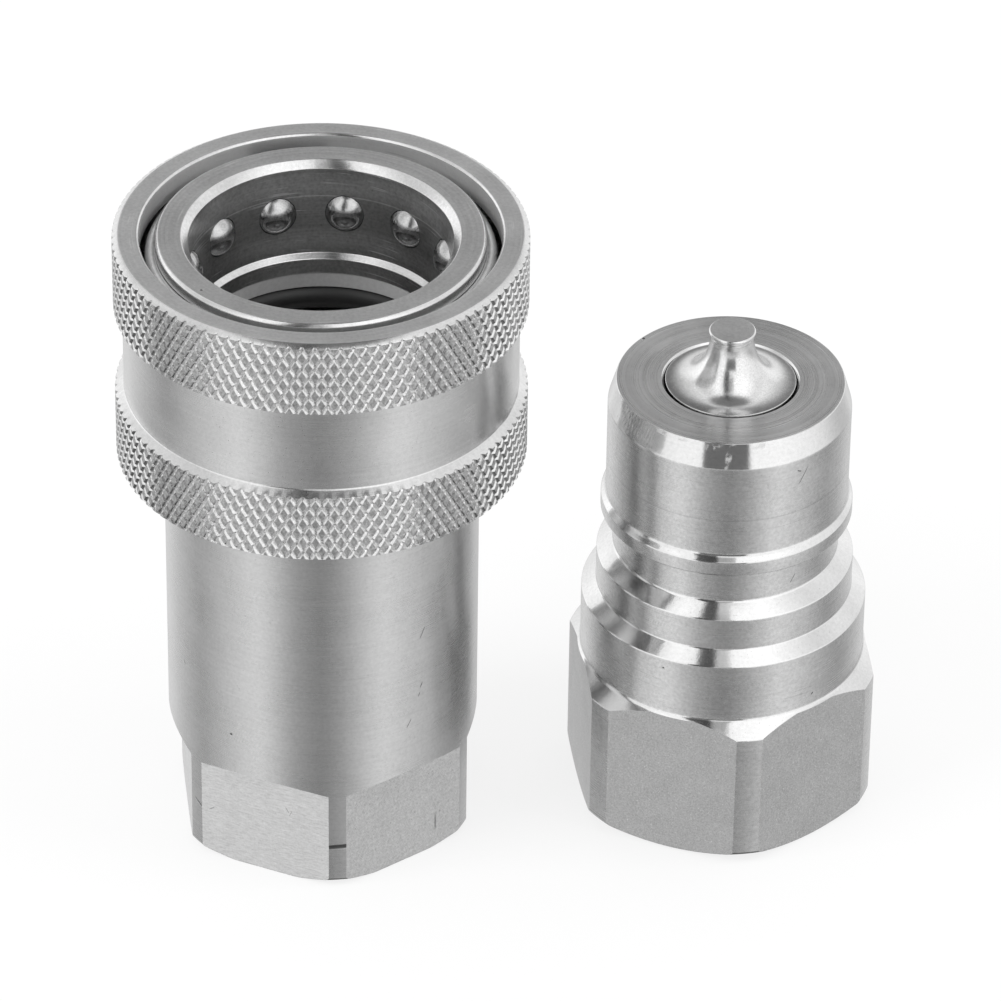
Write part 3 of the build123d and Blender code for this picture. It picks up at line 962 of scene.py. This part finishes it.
def poppet(name, valve_z, axis):
    """Valve poppet: lipped push pin on a hollow flare, flat rim, cone, stem."""
    steps = 14
    rim = poppet_rim_r - poppet_lip_w
    flare = []
    for k in range(steps + 1):
        angle = math.pi / 2 * k / steps
        r = rim - (rim - poppet_neck_r) * math.sin(angle)
        flare.append((r, valve_z + poppet_neck_h * (1 - math.cos(angle)), 0.0))
    tip = valve_z + poppet_tip_h
    outline = [
        (0.0, poppet_stem_end, 0.0),
        (poppet_stem_r - poppet_stem_chamfer, poppet_stem_end, 0.05),
        (poppet_stem_r, poppet_stem_end + poppet_stem_chamfer, 0.05),
        (poppet_stem_r, valve_z - poppet_boss_back, 0.2),
        (poppet_boss_r, valve_z - poppet_boss_back, 0.1),
        (poppet_boss_r, valve_z - poppet_head_back, 0.1),
        (poppet_head_r, valve_z - poppet_head_back, 0.08),
        (poppet_head_r, valve_z - poppet_head_top, 0.08),
        (poppet_rim_r, valve_z - poppet_cone_drop, 0.08),
        (poppet_rim_r, valve_z, 0.07),
    ] + flare + [
        (poppet_tip_r - 0.03, tip - 0.4, 0.05),
        (poppet_tip_r, tip - 0.25, 0.05),
        (poppet_tip_r, tip - 0.12, 0.05),
        (poppet_tip_r - 0.12, tip, 0.05),
        (0.0, tip, 0.0),
    ]
    return shaded(turned(name, outline, axis, 128), 50.0)


def spring(name, group, axis, sizes):
    """Round-wire spring from the coil tree."""
    return shaded(grown(name, group, dict(zip(coil_inputs, (*sizes, *axis)))), 60.0)


def paint(piece, *materials):
    """Gives a piece its materials, one slot each."""
    piece.data.materials.clear()
    for material in materials:
        piece.data.materials.append(material)


def choose(piece, picks):
    """Gives each face the first material slot whose test it passes."""
    for face in piece.data.polygons:
        face.material_index = 0
        for slot, test in picks:
            if test(face):
                face.material_index = slot
                break


def flat_face(axis, af, high, side=None):
    """Test for the faces of a hexagon's flats, all of them or those that face one side."""
    def test(face):
        c, n = face.center, face.normal
        if abs(n.z) > 0.05 or c.z > high * MM:
            return False
        if side is not None and n.x * math.cos(side) + n.y * math.sin(side) < 0.5:
            return False
        across = (c.x - axis[0]) * n.x + (c.y - axis[1]) * n.y
        return abs(across - af / 2 * MM) < 0.02 * MM
    return test


def sloping(face):
    """Test for chamfers, ramps and rounded edges."""
    return 0.2 < abs(face.normal.z) < 0.93


def level_above(height):
    """Test for level faces above a height."""
    def test(face):
        return face.normal.z > 0.93 and face.center.z > height * MM
    return test


def grip_face(face):
    """Test for the diamonds of the sleeve's two grip bands."""
    c = face.center
    r = math.hypot(c.x - SOCKET_AXIS[0], c.y - SOCKET_AXIS[1])
    z = c.z / MM
    inside = lower_grip_low < z < lower_grip_high or upper_grip_low < z < upper_grip_high
    return inside and r > (grip_r - knurl_depth - 0.02) * MM


def inner_face(axis, low, high, radius):
    """Test for the faces of a bore."""
    def test(face):
        c = face.center
        r = math.hypot(c.x - axis[0], c.y - axis[1])
        return low * MM < c.z < high * MM and r < radius * MM
    return test


# Pieces, finishes and bodies

plate = turned_steel(
    "plated turned steel", SOCKET_AXIS, tone=0.62, rough=0.29, lines=0.8, wear=1.8, scored=-0.035,
    marks=(
        (41.0, 28.1, 1.0, 0.07, 0.5),
        (7.0, 4.75, 4.2, 0.20, 0.01),
        (-50.5, 5.6, 3.0, 0.10, -0.12),
        (40.5, 21.9, 0.45, 0.08, 0.5),
        (39.6, 20.9, 0.3, 0.07, 0.6),
        (35.0, 17.9, 0.8, 0.06, 0.45),
        (-60.0, 21.3, 0.5, 0.10, -0.3),
        (-34.0, 16.4, 0.4, 0.10, 0.0),
    ),
)
face_steel = turned_steel(
    "faced end steel", SOCKET_AXIS, tone=0.66, rough=0.40, lines=1.6, streak=0.4, wear=2.6,
    grooves=0.1, scored=0.12, pits=((-10.8, -10.0, 0.2),),
)
bright = turned_steel(
    "bright chamfers", SOCKET_AXIS, tone=0.68, rough=0.18, lines=0.5, streak=0.3, wear=2.0,
    grooves=0.03, scored=0.0,
)
# Bore: worn and scratched; its rings lighten bands near the mouth and round the balls as painted
# light.
bore_steel = turned_steel(
    "worn bore steel with painted light bands", SOCKET_AXIS, tone=0.46, rough=0.36, lines=1.6, streak=0.5, wear=3.5,
    grooves=0.14, scored=0.40, rings=((63.4, 1.25, -0.45), (62.1, 0.07, -0.7), (57.2, 0.9, -0.25)),
)
# Sleeve mouth: the inner wall is rougher, and its tone lighter than the outside is painted light
# in the shaded gap.
mouth_steel_painted_light = turned_steel("sleeve mouth steel", SOCKET_AXIS, tone=0.78, rough=0.55, streak=0.0)
sleeve_steel = turned_steel(
    "plated sleeve steel", SOCKET_AXIS, tone=0.62, rough=0.25, lines=0.6, wear=1.4, scored=-0.03
)
rim_steel = turned_steel(
    "faced rim steel", SOCKET_AXIS, tone=0.78, rough=0.38, lines=1.4, streak=0.4, wear=2.6,
    grooves=0.1, scored=0.10,
)
grip_steel = knurled_steel("knurled grip", SOCKET_AXIS, tone=0.68, rough=0.2)
flats = milled_steel(
    "milled flats", SOCKET_AXIS, tone=0.70, level=1.0, hatch=0.05,
    marks=(
        (-13.0, 7.9, 0.7, 0.07, -0.4),
        (-11.5, 7.6, 0.5, 0.06, 0.5),
        (-46.0, 5.6, 0.9, 0.06, 0.2),
    ),
)
# One flat, cross-milled; its tone darker than the other flats is painted shade.
hatched_flats_painted_shade = milled_steel(
    "cross-milled flats", SOCKET_AXIS, tone=0.60, level=0.35, hatch=0.75,
    marks=((8.5, 7.0, 0.9, 0.12, -0.5), (53.0, 3.0, 0.35, 0.8)),
)
plug_plate = turned_steel(
    "plated plug steel", PLUG_AXIS, tone=0.62, rough=0.27, lines=0.7, streak=0.6, wear=3.2,
    grooves=0.05, scored=-0.08,
    marks=(
        (35.0, 29.9, 1.2, 0.06, 0.3),
        (36.0, 42.4, 2.2, 0.06, 0.33),
        (33.4, 43.0, 0.8, 0.05, -0.10),
        (-25.5, 21.6, 0.35, 0.07, 0.0),
        (38.0, 17.6, 0.4, 0.09, 0.2),
    ),
    rings=((38.4, 0.07, 0.16), (37.2, 0.05, 0.09), (42.6, 0.05, 0.08)),
)
# Its burrs on the nose chamfer are rougher, with painted glints in their colour.
plug_bright = turned_steel(
    "bright plug chamfers", PLUG_AXIS, tone=0.70, rough=0.11, lines=0.4, streak=0.2, wear=1.6,
    grooves=0.03, scored=0.0,
    glinting_burrs=(
        (-2.0, 45.5, 1.6, 0.9, 0.35),
        (-5.0, 46.5, 7.0, 0.30, 0.02),
        (16.0, 46.5, 5.0, 0.25, 0.0),
        (-32.0, 46.6, 9.0, 0.2, 0.0),
    ),
)
plug_face = turned_steel(
    "faced plug steel", PLUG_AXIS, tone=0.76, rough=0.30, lines=2.0, streak=0.92, wear=1.2,
    grooves=0.26, scored=0.1, pits=((-8.3, 6.8, 0.25),),
)
tip_steel = turned_steel(
    "faced valve tip", PLUG_AXIS, tone=0.66, rough=0.40, lines=1.2, streak=0.3, wear=2.6
)
plug_flats = blasted_steel("blasted hexagon", PLUG_AXIS, tone=0.53, rough=0.45)
socket_valve_steel = polished_steel(
    "polished valve", SOCKET_AXIS, tone=0.72, rough=0.19, frost=0.22
)
plug_valve_steel = polished_steel(
    "polished plug valve", PLUG_AXIS, tone=0.72, rough=0.19, frost=0.34
)
ball_steel = polished_steel("bearing ball", SOCKET_AXIS, tone=0.5, rough=0.2, frost=0.25)
wire = drawn_wire("spring wire", SOCKET_AXIS, tone=0.5, rough=0.28)
ring_wire = drawn_wire("retaining ring wire", SOCKET_AXIS, tone=0.75, rough=0.2)
rubber = soft_ring("nitrile rubber", SOCKET_AXIS, tone=0.025, rough=0.42)
pale_ring = soft_ring("pale backup ring", SOCKET_AXIS, tone=0.55, rough=0.45)

socket_piece = socket_housing()
paint(socket_piece, plate, flats, hatched_flats_painted_shade, bore_steel, bright, face_steel)
choose(socket_piece, [
    (2, flat_face(SOCKET_AXIS, socket_flats_af, socket_flats_z + 0.1, math.radians(-53))),
    (1, flat_face(SOCKET_AXIS, socket_flats_af, socket_flats_z + 0.1)),
    (4, sloping),
    (5, level_above(socket_face_z - 0.1)),
    (3, inner_face(SOCKET_AXIS, 15.0, socket_face_z - 0.75, 15.0)),
])
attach(socket_piece, "housings")
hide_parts("socket_body")

plug_piece = plug_housing()
paint(plug_piece, plug_plate, plug_flats, plug_bright, plug_face)
choose(plug_piece, [
    (1, flat_face(PLUG_AXIS, plug_hex_af, plug_flats_z)),
    (2, sloping),
    (3, level_above(plug_nose_z - 0.1)),
])
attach(plug_piece, "housings")
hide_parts("plug_body")

sleeve_piece = sleeve()
paint(sleeve_piece, sleeve_steel, grip_steel, bright, rim_steel, mouth_steel_painted_light)
choose(sleeve_piece, [
    (1, grip_face),
    (2, sloping),
    (3, level_above(sleeve_high - 0.1)),
    (4, inner_face(SOCKET_AXIS, land_bottom_z, sleeve_high - 0.2, sleeve_mouth_r + 0.05)),
])
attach(sleeve_piece, "sleeve")
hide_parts("locking_sleeve")

for name, body, axis, valve_z, material in (
    ("socket_poppet", "socket_valve", SOCKET_AXIS, socket_valve_z, socket_valve_steel),
    ("plug_poppet", "plug_valve", PLUG_AXIS, plug_nose_z, plug_valve_steel),
):
    valve = poppet(name + "_turned", valve_z, axis)
    paint(valve, material, tip_steel)
    choose(valve, [(1, level_above(valve_z + poppet_neck_h))])
    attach(valve, body)
    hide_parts(name)

coils = coil_tree()
for name, axis, sizes, joint, travel in (
    ("sleeve_spring", SOCKET_AXIS, SLEEVE_SPRING, "sleeve_slide", sleeve_travel),
    ("socket_valve_spring", SOCKET_AXIS, SOCKET_SPRING, "socket_poppet_slide", poppet_travel),
    ("plug_valve_spring", PLUG_AXIS, PLUG_SPRING, "plug_poppet_slide", poppet_travel),
):
    coil = spring(name + "_coil", coils, axis, sizes)
    paint(coil, wire)
    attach(coil, "housings")
    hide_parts(name)
    low, high = sizes[3:]
    length = high - low
    low * MM
    (length - travel) / length
    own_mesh(coil)

kept = {
    "socket_valve_guide": socket_valve_steel,
    "plug_valve_guide": plug_valve_steel,
    "socket_guide_ring": wire,
    "plug_guide_ring": wire,
    "sleeve_retaining_ring": ring_wire,
    "bore_seal_ring": rubber,
    "socket_poppet_seal": rubber,
    "plug_poppet_seal": rubber,
    "backup_ring": pale_ring,
}
for index in range(ball_count):
    kept[f"locking_ball_{index + 1:02d}"] = ball_steel
for name, material in kept.items():
    paint(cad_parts[name], material)


# Camera, floor and light

# The camera, in degrees, pixels and millimetres
photo_elevation = 34.958
photo_focal_px = 6885.9
photo_distance = 662.96
photo_target = (0.01, -0.27, 35.567)
photo_roll = 0.8
photo_width = 1001

# The floor: half width and drop in metres, share of plain white that the camera sees
floor_half = 3.0
floor_drop = 0.00005
floor_glow = 0.78

# Brightness that mirroring metal sees round the pair, by degrees from the camera to the
# right: below, level with and above the horizon. All else sees the plain level.
TENT_BELOW = {
    -150: 0.95, -100: 0.42, -47: 1.08, -20: 0.5, 0: 0.3, 20: 0.5, 47: 1.05, 105: 0.4, 150: 0.85,
    180: 0.6,
}
TENT_LEVEL = {
    -145: 1.2, -118: 1.5, -78: 1.0, -45: 1.25, 45: 1.3, 80: 1.15, 118: 1.0, 145: 1.2, 180: 0.8,
}
TENT_ABOVE = {
    -168: 0.3, -152: 0.6, -118: 1.0, -86: 0.8, -50: 1.4, -28: 1.2, -7: 0.52, 7: 0.52, 9: 1.35,
    50: 1.5, 90: 0.95, 118: 1.1, 152: 0.6, 168: 0.3, 180: 0.14,
}
plain_level = 0.95


def photo_camera():
    """Camera at the photograph's place, from the circles of both halves."""
    tilt = math.radians(photo_elevation)
    ahead = Vector((0, math.cos(tilt), -math.sin(tilt)))
    right = Vector((1, 0, 0))
    up = right.cross(ahead)
    roll = math.radians(photo_roll)
    camera_x = right * math.cos(roll) + up * math.sin(roll)
    camera_y = up * math.cos(roll) - right * math.sin(roll)
    turn = Matrix((camera_x, camera_y, -ahead)).transposed().to_4x4()
    data = bpy.data.cameras.new("photo camera")
    data.sensor_width = 36.0
    data.lens = photo_focal_px * data.sensor_width / photo_width
    data.clip_start = 0.05
    camera = bpy.data.objects.new("photo camera", data)
    bpy.context.collection.objects.link(camera)
    place = Vector(photo_target) * MM - ahead * photo_distance * MM
    camera.matrix_world = Matrix.Translation(place) @ turn
    bpy.context.scene.camera = camera


def floor():
    """Pale floor, white to the camera but for the soft shadow under the pair."""
    mesh = bmesh.new()
    bmesh.ops.create_grid(mesh, x_segments=1, y_segments=1, size=floor_half)
    piece = as_object("floor", mesh)
    material = bpy.data.materials.new("pale floor")
    material.use_nodes = True
    material.node_tree.nodes.clear()
    t = Tree(material.node_tree)
    seen = t.num(t.node("ShaderNodeLightPath").outputs["Is Camera Ray"])
    matte = t.node("ShaderNodeBsdfDiffuse", None, {"Color": (0.85, 0.85, 0.85, 1)})
    glow = t.node("ShaderNodeEmission", None, {"Color": (1, 1, 1, 1), "Strength": 1.0})
    shares = {0: seen * floor_glow, 1: matte.outputs[0], 2: glow.outputs[0]}
    mixed = t.node("ShaderNodeMixShader", None, shares)
    out = t.node("ShaderNodeOutputMaterial")
    t.put(out.inputs["Surface"], mixed.outputs[0])
    paint(piece, material)
    piece.visible_glossy = False
    piece.location.z = -floor_drop


def round_tone(t, side, tones):
    """Brightness by direction, from a table of tones. The ramp holds them halved."""
    places = [(0.0, tones[180] / 2)]
    places += [(0.5 + turn / 360.0, tone / 2) for turn, tone in sorted(tones.items())]
    ramp = t.node("ShaderNodeValToRGB", None, {0: side / 360.0 + 0.5})
    stops = ramp.color_ramp.elements
    while len(stops) < len(places):
        stops.new(0.5)
    for stop, (place, tone) in zip(stops, places):
        stop.position = place
        stop.color = (tone, tone, tone, 1.0)
    return t.num(ramp.outputs[0]) * 2.0


def studio():
    """Tent light for the metal: bright sides, a grey front and the dark slot for the lens."""
    world = bpy.data.worlds.new("studio")
    world.use_nodes = True
    bpy.context.scene.world = world
    world.node_tree.nodes.clear()
    t = Tree(world.node_tree)
    x, y, z = t.split(t.node("ShaderNodeTexCoord").outputs["Generated"])
    rise = t.math("ARCSINE", t.clamp(z, -1.0, 1.0)) * (180 / math.pi)
    side = t.math("ARCTAN2", x, -y) * (180 / math.pi)
    below = round_tone(t, side, TENT_BELOW)
    level = round_tone(t, side, TENT_LEVEL)
    above = round_tone(t, side, TENT_ABOVE)
    up = t.step(rise, -24.0, -8.0)
    high = t.step(rise, 12.0, 34.0)
    tone = below * (1.0 - up) + level * (up - high) + above * high
    crown = t.step(rise, 58.0, 72.0)
    peak = t.step(rise, 63.0, 74.0)
    tone = tone * (1.0 - crown) + crown * (1.25 - peak * 1.05)
    slot_low = t.near(side, -3.5, 20.5, 1.5) * t.near(rise, 0.0, 12.0, 3.0)
    slot_high = t.near(side, -18.0, 10.0, 1.0) * t.near(rise, 50.0, 38.0, 3.0)
    tone = tone * (1.0 - slot_low * 0.85) * (1.0 - slot_high * 0.9)
    deep = t.step(rise, -66.0, -46.0)
    tone = tone * (0.15 + deep * 0.85)
    path = t.node("ShaderNodeLightPath")
    seen = t.math("MAXIMUM", path.outputs["Is Camera Ray"], path.outputs["Is Transmission Ray"])
    mirrored = t.num(path.outputs["Is Glossy Ray"])
    tone = tone * mirrored + (1.0 - mirrored) * plain_level
    tone = tone * (1.0 - seen) + seen
    back = t.node("ShaderNodeBackground", None, {"Color": t.grey(tone), "Strength": 1.0})
    out = t.node("ShaderNodeOutputWorld")
    t.put(out.inputs["Surface"], back.outputs[0])


def lamp(name, place, size, power):
    """Square lamp aimed at the pair's middle, in metres and watts."""
    data = bpy.data.lights.new(name, "AREA")
    data.size = size
    data.energy = power
    light = bpy.data.objects.new(name, data)
    light.location = place
    aim = Vector((0, 0, 0.03)) - Vector(place)
    light.rotation_euler = aim.to_track_quat("-Z", "Y").to_euler()
    light.visible_glossy = False
    bpy.context.collection.objects.link(light)


photo_camera()
floor()
studio()
lamp("left softbox", (-0.5, -0.25, 0.55), 0.35, 2.0)
lamp("right softbox", (0.55, -0.1, 0.5), 0.35, 1.4)
bpy.context.scene.view_settings.view_transform = "Standard"
